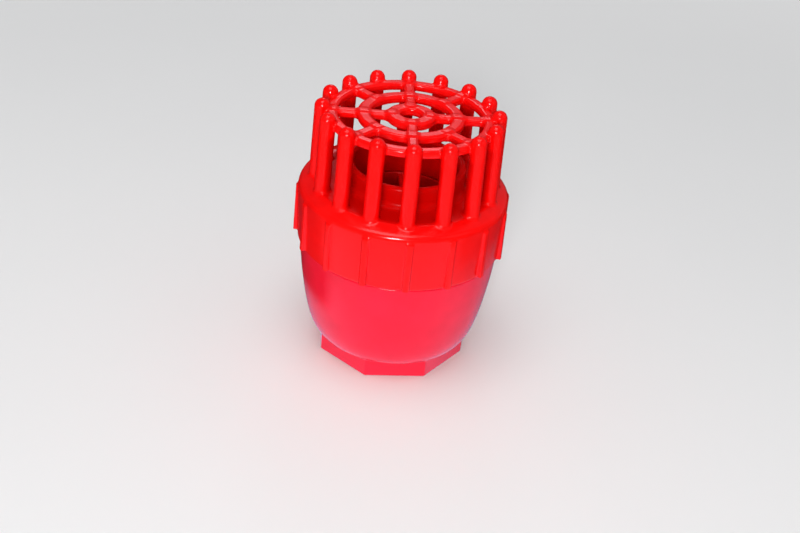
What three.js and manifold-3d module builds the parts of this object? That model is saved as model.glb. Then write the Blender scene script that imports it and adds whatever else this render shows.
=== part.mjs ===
// Spring-loaded foot valve for a 1 inch (G1) suction pipe, with a screw-on strainer basket.
// Millimetres, +Z up. The origin is the centre of the octagonal pipe-end face; +Z runs along
// the flow axis from the pipe end to the domed fingers of the strainer. -Y is the front.
// Outlines are lists of [radius, z]; angles are measured about +Z from the front.
import * as THREE from "three";
import { mergeVertices } from "three/addons/utils/BufferGeometryUtils.js";
import Module from "manifold-3d";

const wasm = await Module();
wasm.setup();

const { degToRad } = THREE.MathUtils;

// ---------------------------------------------------------------- driving dimensions
// _R is a radius, _Z a height or a [bottom, top] pair.
const SEGMENTS = 32; // facets round every large turned shape
const SMALL_SEGMENTS = 16; // facets round the stem, its holes and the hubs
const FINGERS = 16; // strainer fingers, and grip ribs on the collar

// Valve body: octagonal pipe end, bowl and threaded neck
const OCT_APOTHEM = 21.6; // half of the 43.2 mm across flats
const OCT_CORNER_INSET = 0.5; // taken off the corner radius before the bevel grows it back
const OCT_BEVEL = { height: 0.5, width: 0.46 };
const OCT_BEVEL_Z = 7.4; // start of the upper bevel
const OCT_TURN = degToRad(3.4);
const BOWL_TOP_Z = 36.3;
const BOWL_OUTLINE = [
  [20.6, 5.5], [22.4, 5.65], [23.6, 6.3], [25.0, 8.3], [26.1, 11.2], [27.1, 16.4],
  [27.8, 21.5], [28.5, 26.6], [29.1, 31.7], [29.2, 35.7], [28.6, BOWL_TOP_Z],
];
const NECK_CORE_R = 26.6;
const NECK_TOP_Z = 49.0;
const NECK_CHAMFER = 0.5;
const NECK_BORE_R = 24.2;
const SOCKET_MOUTH_R = 17.5;
const SOCKET_ROOT_R = 16.7; // G1 female thread, major radius with clearance
const SOCKET_CREST_R = 15.15; // G1 female thread, minor radius
const SOCKET_PITCH = 2.309;
const SOCKET_DEPTH = 15.6;
const PORT_R = 13.0; // waterway behind the pipe stop
const TUBE_TOP_Z = 20.8; // top of the socket tube that stands up inside the bowl
const TUBE_R = 19.2;
const LEDGE_R = 16.6; // recess that takes the lower guide
const LEDGE_Z = 18.1;

// Strainer cap: ribbed collar and finger basket
const CAP_BOTTOM_Z = 36.7;
const CAP_LOW_R = 30.0;
const CAP_HIGH_R = 30.3;
const CAP_SHOULDER_Z = 53.4;
const CAP_DECK_Z = 55.0; // the slots start here
const CAP_BORE_R = 28.1;
const CAP_CEILING_Z = 52.6;
const THROAT_R = 17.25; // inlet throat that stands up from the deck, inside the basket
const THROAT_BORE_R = 15.0;
const THROAT_TOP_Z = 61.1;
const THROAT_CHAMFER = 0.5;
const THROAT_FOOT_Z = 49.6; // the lower end sits in a counterbore of the seat ring
const RIB_WIDTH = 2.1;
const RIB_TOP_R = 31.2;
const RIB_LOW_R = 31.6;
const RIB_TURN = degToRad(2.0);
const FINGER_R = 2.2;
const FINGER_SEGMENTS = 8;
const FINGER_EMBED = 1.4; // length sunk below the deck
const FINGER_ROOT_CIRCLE_R = 25.2;
const FINGER_TIP_CIRCLE_R = 24.5;
const FINGER_TIP_Z = 76.0; // centre of each domed head
const GRILLE_Z = 74.5;
const GRILLE_HALF_HEIGHT = 1.2;
const HUB_RING_R = [2.9, 6.9]; // grille rings: [inner, outer] radius
const MID_RING_R = [11.3, 15.0];
const OUT_RING_R = [20.3, 23.6];
const LONG_SPOKE = { startR: 4.9, endR: 22.0, width: 3.0 };
const SHORT_SPOKE = { startR: 12.9, endR: 22.0, width: 3.2 };

// Helical ridges: baseR lies inside the wall that carries the ridge
const PIPE_THREAD = {
  baseR: SOCKET_ROOT_R + 0.35, crestR: SOCKET_CREST_R, baseWidth: 2.1, crestWidth: 0.45,
  lead: SOCKET_PITCH, startZ: 1.9, turns: 5.5,
};
const COLLAR_PROFILE = { baseWidth: 2.2, crestWidth: 1.0, lead: 4.0 };
const NECK_THREAD = {
  ...COLLAR_PROFILE, baseR: NECK_CORE_R - 0.4, crestR: 27.7, startZ: 39.6, turns: 1.9,
};
const CAP_THREAD = {
  ...COLLAR_PROFILE, baseR: CAP_BORE_R + 0.4, crestR: 27.0, startZ: 41.6, turns: 1.7,
};
const THREAD_FADE_TURNS = 0.25; // length of the run-out at each end
const THREAD_END_HEIGHT = 0.12; // share of the ridge height left at the very end

const GASKET = { innerR: 24.6, outerR: 27.4, bottom: 51.1, top: 52.3 };

// Seat ring: flange, plug, seat lip and upper stem guide
const SEAT_FLANGE_R = 26.5;
const SEAT_FLANGE_Z = [49.3, 50.8];
const SEAT_PLUG_R = 23.9;
const SEAT_PLUG_Z = 46.0;
const SEAT_PORT_R = 15.0;
const SEAT_WALL_R = SEAT_PORT_R + 2.0;
const SEAT_LIP_Z = 43.6;
const SEAT_COUNTERBORE = { radius: 17.55, z: 49.3 };
const GROOVE = { floorR: 22.2, bottom: 46.7, top: 48.6 };
const O_RING = { centreR: 23.1, wireR: 0.7, z: (GROOVE.bottom + GROOVE.top) / 2 };
const UPPER_HUB_R = 4.4;
const UPPER_HUB_Z = [46.0, 50.4];
const GUIDE_ARM_WIDTH = 2.0; // upper and lower guides

// Poppet
const STEM_R = 2.5;
const STEM_Z = [20.8, 51.2];
const STEM_COLLAR = { radius: 4.3, bottom: 44.9, top: 45.7 };
const BORE_R = 2.75; // every hole the stem passes through
const DISC_R = 18.0;
const DISC_Z = [39.5, 41.5];
const DISC_BOSS_R = 5.4;
const DISC_BOSS_Z = 35.0;
const DISC_RIB_WIDTH = 1.6;
const SEAL = { innerR: BORE_R, outerR: 17.7, bottom: 41.8, top: 43.3 };
const BACKING = { innerR: BORE_R, outerR: 9.5, bottom: 43.6, top: 44.6 };
const LOCK = { innerR: BORE_R, outerR: 4.4, bottom: 33.7, top: 34.7 };
const LOCK_SEGMENTS = 24;
const LOCK_SLIT = { width: 0.7, length: 4, height: 3, centreR: 3.6, angle: 0.6 };
const NUT = { acrossFlats: 8.0, bottom: 29.6, top: 33.4, faceR: 3.4, bevelHeight: 1.0 };
const NUT_BEVEL_SEGMENTS = 24;

// Return spring
const SPRING_R = 6.55;
const SPRING_WIRE_R = 0.6;
const SPRING_Z = [20.7, 39.2];
const SPRING_TURNS = 6;
const SPRING_STEPS_PER_TURN = 16;
const SPRING_END_RISE = 2 * SPRING_WIRE_R + 0.15; // height taken by each closed end turn

// Lower guide
const LOWER_Z = [18.4, 20.4];
const LOWER_RING = { innerR: 13.2, outerR: 16.3, bottom: LOWER_Z[0], top: LOWER_Z[1] };
const LOWER_HUB_R = 4.6;
const LOWER_HUB_Z = [16.6, 24.0];
const LOWER_SEAT_R = 7.9; // spring seat round the hub

// ---------------------------------------------------------------- materials and parts
const RED = { color: 0xd01010, roughness: 0.28, metalness: 0.0 };
const BLACK_RUBBER = { color: 0x1a1a1a, roughness: 0.75, metalness: 0.0 };
const STEEL = { color: 0xc4c6c8, roughness: 0.3, metalness: 1.0 };

function geometryOf(manifold) {
  const { vertProperties, triVerts } = manifold.getMesh();
  const geometry = new THREE.BufferGeometry();
  const positions = new THREE.BufferAttribute(new Float32Array(vertProperties), 3);
  geometry.setAttribute("position", positions);
  geometry.setIndex(new THREE.BufferAttribute(new Uint32Array(triVerts), 1));
  const faceted = geometry.toNonIndexed();
  faceted.computeVertexNormals();
  return faceted;
}

function part(name, manifold, look) {
  const mesh = new THREE.Mesh(geometryOf(manifold), new THREE.MeshStandardMaterial(look));
  mesh.name = name;
  return mesh;
}

// ---------------------------------------------------------------- solids
// Closed geometry to manifold solid; a profile drawn the other way round is turned to face out.
function solid(geometry) {
  const bare = geometry.clone();
  bare.deleteAttribute("normal");
  bare.deleteAttribute("uv");
  const welded = mergeVertices(bare, 1e-4);
  const corners = welded.index.array;
  const build = (flipped) => {
    const triangles = [];
    for (let i = 0; i < corners.length; i += 3) {
      const [first, second, third] = corners.slice(i, i + 3);
      if (first === second || second === third || first === third) continue;
      if (flipped) triangles.push(first, third, second);
      else triangles.push(first, second, third);
    }
    return new wasm.Manifold(
      new wasm.Mesh({
        numProp: 3,
        vertProperties: new Float32Array(welded.attributes.position.array),
        triVerts: new Uint32Array(triangles),
      }),
    );
  };
  const asDrawn = build(false);
  return asDrawn.volume() < 0 ? build(true) : asDrawn;
}

const joined = (solids) => solids.reduce((sum, next) => sum.add(next));

// One item for each of `count` equal steps round the axis.
const around = (count, make) =>
  Array.from({ length: count }, (_, i) => make((i * 2 * Math.PI) / count));

const vectors = (points) => points.map(([x, y]) => new THREE.Vector2(x, y));

function turnedGeometry(outline, segments) {
  const geometry = new THREE.LatheGeometry(vectors(outline), segments);
  return geometry.rotateX(Math.PI / 2);
}
const turned = (outline, segments = SEGMENTS) => solid(turnedGeometry(outline, segments));

const ring = ({ innerR, outerR, bottom, top }, segments) =>
  turned(
    [[innerR, bottom], [outerR, bottom], [outerR, top], [innerR, top], [innerR, bottom]],
    segments,
  );

const rod = (radius, bottom, top) =>
  turned([[0, bottom], [radius, bottom], [radius, top], [0, top]], SMALL_SEGMENTS);

// Cutter for the stem hole through a piece, 1 mm longer at each end.
const stemHole = (bottom, top) => rod(BORE_R, bottom - 1, top + 1);

function polygon(sides, cornerR, startAngle = 0) {
  const shape = new THREE.Shape(vectors(around(sides, (angle) => [
    cornerR * Math.cos(startAngle + angle),
    cornerR * Math.sin(startAngle + angle),
  ])));
  shape.closePath();
  return shape;
}

const prism = (shape, depth) =>
  new THREE.ExtrudeGeometry(shape, { depth, steps: 1, bevelEnabled: false });

// Plate of the given thickness standing in a radial plane, from an outline of [radius, z].
function web(outline, thickness, angle) {
  const geometry = prism(new THREE.Shape(vectors(outline)), thickness);
  geometry.translate(0, 0, -thickness / 2);
  geometry.rotateX(Math.PI / 2); // shape y becomes +Z
  geometry.rotateZ(angle - Math.PI / 2); // +X becomes the front at angle 0
  return solid(geometry);
}

// Helical ridge: a trapezoid extruded straight in many steps and then wrapped round the axis.
// Both ends fade into the wall they stand on.
function helixRidge({ baseR, crestR, baseWidth, crestWidth, lead, startZ, turns }) {
  const steps = Math.round(turns * SEGMENTS);
  const section = new THREE.Shape(vectors([
    [0, -baseWidth / 2], [1, -crestWidth / 2], [1, crestWidth / 2], [0, baseWidth / 2],
  ]));
  const geometry = new THREE.ExtrudeGeometry(section, { depth: 1, steps, bevelEnabled: false });
  const position = geometry.getAttribute("position");
  const point = new THREE.Vector3();
  for (let i = 0; i < position.count; i++) {
    point.fromBufferAttribute(position, i);
    const along = Math.round(point.z * steps) / steps;
    const turnsToEnd = Math.min(along, 1 - along) * turns;
    const rise = Math.min(1, Math.max(0, turnsToEnd / THREAD_FADE_TURNS));
    const height = THREAD_END_HEIGHT + (1 - THREAD_END_HEIGHT) * rise;
    const radius = baseR + (crestR - baseR) * point.x * height;
    const angle = along * turns * 2 * Math.PI;
    const z = startZ + lead * turns * along + point.y;
    position.setXYZ(i, radius * Math.sin(angle), -radius * Math.cos(angle), z);
  }
  return solid(geometry);
}

// ---------------------------------------------------------------- valve body
function octagonEnd() {
  const cornerR = OCT_APOTHEM / Math.cos(Math.PI / 8) - OCT_CORNER_INSET;
  const firstCorner = OCT_TURN - Math.PI / 2 + Math.PI / 8;
  const geometry = new THREE.ExtrudeGeometry(polygon(8, cornerR, firstCorner), {
    depth: OCT_BEVEL_Z - OCT_BEVEL.height,
    steps: 1,
    bevelEnabled: true,
    bevelThickness: OCT_BEVEL.height,
    bevelSize: OCT_BEVEL.width,
    bevelSegments: 1,
  });
  return solid(geometry.translate(0, 0, OCT_BEVEL.height));
}

function valveBody() {
  const outside = turned([
    [0, BOWL_OUTLINE[0][1]], ...BOWL_OUTLINE,
    [NECK_CORE_R, BOWL_TOP_Z], [NECK_CORE_R, NECK_TOP_Z - NECK_CHAMFER],
    [NECK_CORE_R - NECK_CHAMFER, NECK_TOP_Z], [0, NECK_TOP_Z],
  ]);
  // Socket, port and ledge, then over the tube, down into the pocket and up the bowl wall.
  const cavity = turned([
    [0, -1], [SOCKET_MOUTH_R, -1], [SOCKET_MOUTH_R, 0],
    [SOCKET_ROOT_R, 0.8], [SOCKET_ROOT_R, SOCKET_DEPTH],
    [PORT_R, SOCKET_DEPTH], [PORT_R, LEDGE_Z], [LEDGE_R, LEDGE_Z], [LEDGE_R, TUBE_TOP_Z],
    [TUBE_R, TUBE_TOP_Z], [TUBE_R + 0.3, 9.8], [20.3, 8.8], [21.6, 8.8], [22.6, 9.9],
    [23.2, 14], [23.8, 22], [24.1, 34], [NECK_BORE_R, NECK_TOP_Z + 1], [0, NECK_TOP_Z + 1],
  ]);
  return octagonEnd()
    .add(outside)
    .subtract(cavity)
    .add(helixRidge(PIPE_THREAD))
    .add(helixRidge(NECK_THREAD));
}

// ---------------------------------------------------------------- strainer cap
function collar() {
  return turned([
    [CAP_BORE_R + 0.2, CAP_BOTTOM_Z], [CAP_LOW_R, CAP_BOTTOM_Z],
    [CAP_HIGH_R, CAP_SHOULDER_Z - 1.8], [CAP_HIGH_R - 0.5, CAP_SHOULDER_Z - 0.5],
    [CAP_HIGH_R - 1.7, CAP_SHOULDER_Z + 0.3], [25.6, CAP_DECK_Z],
    // throat, up the outside and down the bore
    [THROAT_R + 3.0, CAP_DECK_Z], [THROAT_R + 1.0, CAP_DECK_Z + 0.6],
    [THROAT_R + 0.15, CAP_DECK_Z + 2.2], [THROAT_R, THROAT_TOP_Z - THROAT_CHAMFER],
    [THROAT_R - THROAT_CHAMFER, THROAT_TOP_Z], [THROAT_BORE_R + THROAT_CHAMFER, THROAT_TOP_Z],
    [THROAT_BORE_R, THROAT_TOP_Z - THROAT_CHAMFER], [THROAT_BORE_R, THROAT_FOOT_Z],
    // underside of the deck and the collar bore
    [THROAT_R, THROAT_FOOT_Z], [THROAT_R, CAP_CEILING_Z], [CAP_BORE_R, CAP_CEILING_Z],
    [CAP_BORE_R, CAP_BOTTOM_Z + 0.5], [CAP_BORE_R + 0.2, CAP_BOTTOM_Z],
  ]);
}

const gripRib = (angle) =>
  web([
    [CAP_LOW_R - 0.7, CAP_BOTTOM_Z], [RIB_LOW_R, CAP_BOTTOM_Z],
    [RIB_TOP_R, CAP_SHOULDER_Z - 1.7], [CAP_HIGH_R - 0.9, CAP_SHOULDER_Z - 0.8],
  ], RIB_WIDTH, angle + RIB_TURN);

function finger(angle) {
  const rootZ = CAP_DECK_Z - FINGER_EMBED;
  const domePoint = (degrees) => [
    FINGER_R * Math.cos(degToRad(degrees)),
    FINGER_TIP_Z + FINGER_R * Math.sin(degToRad(degrees)),
  ];
  const geometry = turnedGeometry([
    [0, rootZ], [FINGER_R, rootZ], [FINGER_R, FINGER_TIP_Z],
    domePoint(30), domePoint(60), [0, FINGER_TIP_Z + FINGER_R],
  ], FINGER_SEGMENTS);
  // Move each point out to the finger circle, which narrows towards the top.
  const position = geometry.getAttribute("position");
  for (let i = 0; i < position.count; i++) {
    const rise = (position.getZ(i) - CAP_DECK_Z) / (FINGER_TIP_Z - CAP_DECK_Z);
    const circleR = FINGER_ROOT_CIRCLE_R + (FINGER_TIP_CIRCLE_R - FINGER_ROOT_CIRCLE_R) * rise;
    position.setY(i, position.getY(i) - circleR);
  }
  return solid(geometry.rotateZ(angle));
}

// Eight-sided grille bar section round [0, 0]; flatShare is the share of each side left flat.
function barSection(halfWidth, halfHeight, flatShare) {
  const flatX = halfWidth * flatShare;
  const flatY = halfHeight * flatShare;
  return [
    [halfWidth, -flatY], [halfWidth, flatY], [flatX, halfHeight], [-flatX, halfHeight],
    [-halfWidth, flatY], [-halfWidth, -flatY], [-flatX, -halfHeight], [flatX, -halfHeight],
  ];
}

function grilleRing([innerR, outerR], segments) {
  const centreR = (innerR + outerR) / 2;
  const outline = barSection((outerR - innerR) / 2, GRILLE_HALF_HEIGHT, 0.55)
    .map(([x, y]) => [centreR + x, GRILLE_Z + y]);
  return turned([...outline, outline[0]], segments);
}

function spoke({ startR, endR, width }, angle) {
  // Slightly lower than the rings it joins.
  const section = barSection(width / 2, GRILLE_HALF_HEIGHT * 0.97, 0.5);
  const geometry = prism(new THREE.Shape(vectors(section)), endR - startR);
  geometry.rotateX(Math.PI / 2); // runs towards the front, -Y
  geometry.translate(0, -startR, GRILLE_Z);
  geometry.rotateZ(angle);
  return solid(geometry);
}

function strainerCap() {
  const spokes = around(4, (angle) => [
    spoke(LONG_SPOKE, angle),
    spoke(SHORT_SPOKE, angle + Math.PI / 4),
  ]).flat();
  return joined([
    collar(),
    ...around(FINGERS, gripRib),
    ...around(FINGERS, finger),
    grilleRing(OUT_RING_R, SEGMENTS),
    grilleRing(MID_RING_R, SEGMENTS),
    grilleRing(HUB_RING_R, SMALL_SEGMENTS),
    ...spokes,
    helixRidge(CAP_THREAD),
  ]);
}

// ---------------------------------------------------------------- seat ring and its O-ring
function seatRing() {
  const [flangeBottom, flangeTop] = SEAT_FLANGE_Z;
  const [hubBottom, hubTop] = UPPER_HUB_Z;
  const seat = turned([
    [SEAT_PORT_R + 0.25, SEAT_LIP_Z], [SEAT_PORT_R + 1.2, SEAT_LIP_Z],
    [SEAT_WALL_R, SEAT_LIP_Z + 1.1], [SEAT_WALL_R, 47.6],
    // plug with the O-ring groove
    [20.6, 47.6], [20.6, SEAT_PLUG_Z], [SEAT_PLUG_R, SEAT_PLUG_Z],
    [SEAT_PLUG_R, GROOVE.bottom], [GROOVE.floorR, GROOVE.bottom],
    [GROOVE.floorR, GROOVE.top], [SEAT_PLUG_R, GROOVE.top],
    // flange, counterbore and port
    [SEAT_PLUG_R, flangeBottom], [SEAT_FLANGE_R, flangeBottom], [SEAT_FLANGE_R, flangeTop],
    [SEAT_COUNTERBORE.radius, flangeTop], [SEAT_COUNTERBORE.radius, SEAT_COUNTERBORE.z],
    [SEAT_PORT_R, SEAT_COUNTERBORE.z], [SEAT_PORT_R, SEAT_LIP_Z + 0.4],
    [SEAT_PORT_R + 0.25, SEAT_LIP_Z],
  ]);
  const armOutline = [
    [3.4, hubBottom + 0.7], [16.0, hubBottom + 0.7], [16.0, hubTop - 1.6],
    [5.0, hubTop - 0.8], [3.4, hubTop - 0.5],
  ];
  const arms = around(4, (angle) => web(armOutline, GUIDE_ARM_WIDTH, angle));
  const hub = rod(UPPER_HUB_R, hubBottom, hubTop);
  return joined([seat, ...arms, hub]).subtract(stemHole(hubBottom, hubTop));
}

function seatORing() {
  const outline = around(8, (angle) => [
    O_RING.centreR + O_RING.wireR * Math.cos(angle),
    O_RING.z + O_RING.wireR * Math.sin(angle),
  ]);
  return turned([...outline, outline[0]]);
}

// ---------------------------------------------------------------- lower stem guide
function lowerGuide() {
  const [bottom, top] = LOWER_Z;
  const [hubBottom, hubTop] = LOWER_HUB_Z;
  const hub = turned([
    [0, hubBottom], [LOWER_HUB_R - 0.6, hubBottom], [LOWER_HUB_R, hubBottom + 0.8],
    [LOWER_HUB_R, bottom], [LOWER_SEAT_R, bottom + 0.2], [LOWER_SEAT_R, top],
    [LOWER_HUB_R, top], [LOWER_HUB_R, hubTop - 0.6], [LOWER_HUB_R - 0.6, hubTop], [0, hubTop],
  ], SMALL_SEGMENTS);
  const armOutline = [
    [6.5, 17.1], [12.6, 17.0], [12.6, bottom + 0.1], [13.8, bottom + 0.1],
    [13.8, top - 0.1], [6.5, top - 0.1],
  ];
  const arms = around(4, (angle) => web(armOutline, GUIDE_ARM_WIDTH, angle));
  return joined([ring(LOWER_RING), hub, ...arms]).subtract(stemHole(hubBottom, hubTop));
}

// ---------------------------------------------------------------- poppet pieces
function poppetDisc() {
  const [bottom, top] = DISC_Z;
  const plate = turned([
    [0, DISC_BOSS_Z], [DISC_BOSS_R - 0.5, DISC_BOSS_Z], [DISC_BOSS_R, DISC_BOSS_Z + 0.6],
    [DISC_BOSS_R, bottom], [DISC_R - 0.5, bottom], [DISC_R, bottom + 0.5],
    [DISC_R, top - 0.3], [DISC_R - 0.3, top], [0, top],
  ]);
  const ribOutline = [
    [8.4, bottom - 2.6], [10.2, bottom - 2.6], [16.8, bottom - 0.4],
    [16.8, bottom + 0.6], [8.4, bottom + 0.6],
  ];
  const ribs = around(6, (angle) => web(ribOutline, DISC_RIB_WIDTH, angle));
  return joined([plate, ...ribs]).subtract(stemHole(DISC_BOSS_Z, top));
}

function poppetStem() {
  const [bottom, top] = STEM_Z;
  return turned([
    [0, bottom], [STEM_R - 0.5, bottom], [STEM_R, bottom + 0.5],
    [STEM_R, STEM_COLLAR.bottom], [STEM_COLLAR.radius, STEM_COLLAR.bottom],
    [STEM_COLLAR.radius, STEM_COLLAR.top], [STEM_R, STEM_COLLAR.top],
    [STEM_R, top - 0.6], [STEM_R - 0.6, top], [0, top],
  ], SMALL_SEGMENTS);
}

function stemNut() {
  const { bottom, top } = NUT;
  const cornerR = NUT.acrossFlats / 2 / Math.cos(Math.PI / 6);
  const hexagon = prism(polygon(6, cornerR), top - bottom).translate(0, 0, bottom);
  // Keeping only what lies inside this cone bevels the top corners.
  const bevelCone = turned([
    [0, bottom - 1], [cornerR + 1, bottom - 1], [cornerR + 1, top - NUT.bevelHeight],
    [NUT.faceR, top], [0, top],
  ], NUT_BEVEL_SEGMENTS);
  return solid(hexagon).intersect(bevelCone).subtract(stemHole(bottom, top));
}

// Split lock washer: a ring cut through at one side.
function lockWasher() {
  const slit = new THREE.BoxGeometry(LOCK_SLIT.width, LOCK_SLIT.length, LOCK_SLIT.height);
  slit.translate(0, -LOCK_SLIT.centreR, (LOCK.bottom + LOCK.top) / 2);
  slit.rotateZ(LOCK_SLIT.angle);
  return ring(LOCK, LOCK_SEGMENTS).subtract(solid(slit));
}

// Centre line of the spring wire; the first and last turns lie almost flat.
class Coil extends THREE.Curve {
  getPoint(t, target = new THREE.Vector3()) {
    const bottom = SPRING_Z[0] + SPRING_WIRE_R;
    const top = SPRING_Z[1] - SPRING_WIRE_R;
    const endShare = 1 / SPRING_TURNS;
    const openRise = top - bottom - 2 * SPRING_END_RISE;
    const angle = t * SPRING_TURNS * 2 * Math.PI;
    let z;
    if (t < endShare) z = bottom + (SPRING_END_RISE * t) / endShare;
    else if (t > 1 - endShare) z = top - (SPRING_END_RISE * (1 - t)) / endShare;
    else z = bottom + SPRING_END_RISE + (openRise * (t - endShare)) / (1 - 2 * endShare);
    return target.set(SPRING_R * Math.sin(angle), -SPRING_R * Math.cos(angle), z);
  }
}

const returnSpring = () =>
  solid(new THREE.ExtrudeGeometry(polygon(6, SPRING_WIRE_R), {
    steps: SPRING_TURNS * SPRING_STEPS_PER_TURN,
    extrudePath: new Coil(),
    bevelEnabled: false,
  }));

// ---------------------------------------------------------------- assembly
const fixed = new THREE.Group();
fixed.add(
  part("valve_body", valveBody(), RED),
  part("seat_ring", seatRing(), RED),
  part("seat_o_ring", seatORing(), BLACK_RUBBER),
  part("lower_guide", lowerGuide(), RED),
);

const cap = new THREE.Group();
cap.add(
  part("strainer_cap", strainerCap(), RED),
  part("cap_gasket", ring(GASKET), BLACK_RUBBER),
);

const poppet = new THREE.Group();
poppet.add(
  part("poppet_disc", poppetDisc(), RED),
  part("seal_washer", ring(SEAL), BLACK_RUBBER),
  part("backing_washer", ring(BACKING), STEEL),
  part("lock_washer", lockWasher(), STEEL),
  part("stem_nut", stemNut(), STEEL),
  part("poppet_stem", poppetStem(), STEEL),
  part("return_spring", returnSpring(), STEEL),
);

const valve = new THREE.Group();
valve.add(fixed, cap, poppet);

export default valve;
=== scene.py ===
import math

import bpy
import numpy as np
from mathutils import Matrix, Vector


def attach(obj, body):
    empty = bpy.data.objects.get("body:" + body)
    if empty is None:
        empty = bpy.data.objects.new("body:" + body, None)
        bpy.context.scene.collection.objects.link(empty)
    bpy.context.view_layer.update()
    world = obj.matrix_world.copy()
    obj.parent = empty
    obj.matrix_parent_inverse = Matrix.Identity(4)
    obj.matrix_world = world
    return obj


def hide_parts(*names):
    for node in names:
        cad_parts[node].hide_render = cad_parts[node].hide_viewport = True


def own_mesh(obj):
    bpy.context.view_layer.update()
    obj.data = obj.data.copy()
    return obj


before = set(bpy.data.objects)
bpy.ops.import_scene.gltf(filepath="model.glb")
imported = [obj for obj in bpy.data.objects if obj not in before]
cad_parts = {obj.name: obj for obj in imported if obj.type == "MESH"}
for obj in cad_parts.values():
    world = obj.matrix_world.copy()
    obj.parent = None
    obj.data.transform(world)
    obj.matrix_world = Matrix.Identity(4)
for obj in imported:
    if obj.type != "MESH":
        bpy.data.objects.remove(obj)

MM = 0.001
TAU = 2 * math.pi

# Sizes that several pieces share
GRIP_COUNT = 16  # grip ribs, and also fingers, round the strainer
NECK_LEAD = 4.0  # the neck thread and the collar thread that fits it
HOLE_RADIUS = 2.75  # hole for the stem
ARM_COUNT = 4  # arms of the seat ring and of the lower guide


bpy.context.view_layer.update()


# ------------------------------------------------------------------ outlines
def through(points):
    """Sharp polygon corners, about 1 mm apart, along a smooth curve through the points."""
    knots = np.array(points, float)
    knots = np.vstack([2 * knots[0] - knots[1], knots, 2 * knots[-1] - knots[-2]])
    out = []
    for i in range(1, len(knots) - 2):
        before, start, end, after = knots[i - 1 : i + 3]
        count = max(1, int(round(np.linalg.norm(end - start))))
        linear = end - before
        square = 2 * before - 5 * start + 4 * end - after
        cube = 3 * start - before - 3 * end + after
        for t in np.arange(count) / count:
            out.append(0.5 * (2 * start + linear * t + square * t * t + cube * t**3))
    out.append(knots[-2])
    return [(float(x), float(y), 0) for x, y in out]


def rounded(points, parts=6):
    """Closed polygon from (x, y, corner radius), each corner an arc of up to so many parts."""
    corners = [np.array(p[:2], float) for p in points]
    out = []
    for i, corner in enumerate(corners):
        back, ahead = corners[i - 1] - corner, corners[(i + 1) % len(corners)] - corner
        back_len, ahead_len = np.linalg.norm(back), np.linalg.norm(ahead)
        back, ahead = back / back_len, ahead / ahead_len
        opening = math.acos(max(-1.0, min(1.0, float(back @ ahead))))
        wanted = points[i][2]
        if wanted <= 0 or opening > math.pi - 0.02:
            out.append(corner)
            continue
        cut = min(wanted / math.tan(opening / 2), 0.48 * back_len, 0.48 * ahead_len)
        radius = cut * math.tan(opening / 2)
        bisector = (back + ahead) / np.linalg.norm(back + ahead)
        centre = corner + bisector * (radius / math.sin(opening / 2))
        first = math.atan2(*(corner + back * cut - centre)[::-1])
        last = math.atan2(*(corner + ahead * cut - centre)[::-1])
        swing = (last - first + math.pi) % TAU - math.pi
        count = max(2, min(parts, math.ceil(abs(swing) / 0.22)))
        for j in range(count + 1):
            angle = first + swing * j / count
            out.append(centre + radius * np.array([math.cos(angle), math.sin(angle)]))
    return np.array(out)


def circle(radius, count, x=0.0, y=0.0):
    angles = [i * TAU / count for i in range(count)]
    return [(x + radius * math.cos(a), y + radius * math.sin(a)) for a in angles]


# ------------------------------------------------------------------ distance fields
# A field is a function of (angle, radius, z) that is negative inside the solid.
def smin(first, second, blend):
    """Union with a fillet of about the blend width."""
    share = np.clip(0.5 + 0.5 * (second - first) / blend, 0.0, 1.0)
    return second + (first - second) * share - blend * share * (1.0 - share)


def smax(first, second, blend):
    """Intersection with a softened edge of about the blend width."""
    return -smin(-first, -second, blend)


def poly_sd(x, y, poly):
    """Signed distance to a closed polygon, negative inside; x and y may broadcast."""
    x, y = np.broadcast_arrays(x, y)
    nearest = np.full(x.shape, 1e9)
    inside = np.zeros(x.shape, bool)
    for i in range(len(poly)):
        (x0, y0), (x1, y1) = poly[i], poly[(i + 1) % len(poly)]
        edge_x, edge_y = x1 - x0, y1 - y0
        from_x, from_y = x - x0, y - y0
        length_sq = edge_x * edge_x + edge_y * edge_y + 1e-12
        t = np.clip((from_x * edge_x + from_y * edge_y) / length_sq, 0, 1)
        gap_x, gap_y = from_x - edge_x * t, from_y - edge_y * t
        nearest = np.minimum(nearest, gap_x * gap_x + gap_y * gap_y)
        if y0 != y1:
            inside ^= ((y0 <= y) != (y1 <= y)) & (x < x0 + edge_x * (y - y0) / edge_y)
    dist = np.sqrt(nearest)
    return np.where(inside, -dist, dist)


def slab(flat, thick, rounding):
    """Joins a 2-D distance and a thickness distance into a solid with rounded edges."""
    a, b = flat + rounding, thick + rounding
    return np.minimum(np.maximum(a, b), 0) + np.hypot(np.maximum(a, 0), np.maximum(b, 0)) - rounding


def sector(angle, radius, count, turn=0.0):
    """Place in the nearest of count equal sectors: across its middle line, and out along it."""
    period = TAU / count
    off = (angle - turn + period / 2) % period - period / 2
    return radius * np.sin(off), radius * np.cos(off)


def web(angle, radius, z, count, outline, grow, half_width, rounding):
    """Evenly spaced upright plates with an (r, z) outline, grown outwards a little."""
    across, out = sector(angle, radius, count)
    return slab(poly_sd(out, z, outline) - grow, np.abs(across) - half_width, rounding)


def bored(dist, radius, z, middle, half_height, blend):
    """Cuts the stem hole."""
    bore = np.maximum(radius - HOLE_RADIUS, np.abs(z - middle) - half_height)
    return smax(dist, -bore, blend)


def helix(angle, z, start, lead, turns, fade):
    """Axial offset from the nearest turn of a right-hand helix, and its share of full height."""
    wound = angle / TAU
    whole = np.round((z - start) / lead - wound)
    late = np.where(wound + whole > turns, np.floor(turns - wound), whole)
    whole = np.where(wound + whole < 0, np.ceil(-wound), late)
    t = wound + whole
    ease = np.clip(np.minimum(t, turns - t) / fade, 0.0, 1.0)
    return z - start - lead * t, ease * ease * (3 - 2 * ease)


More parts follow.
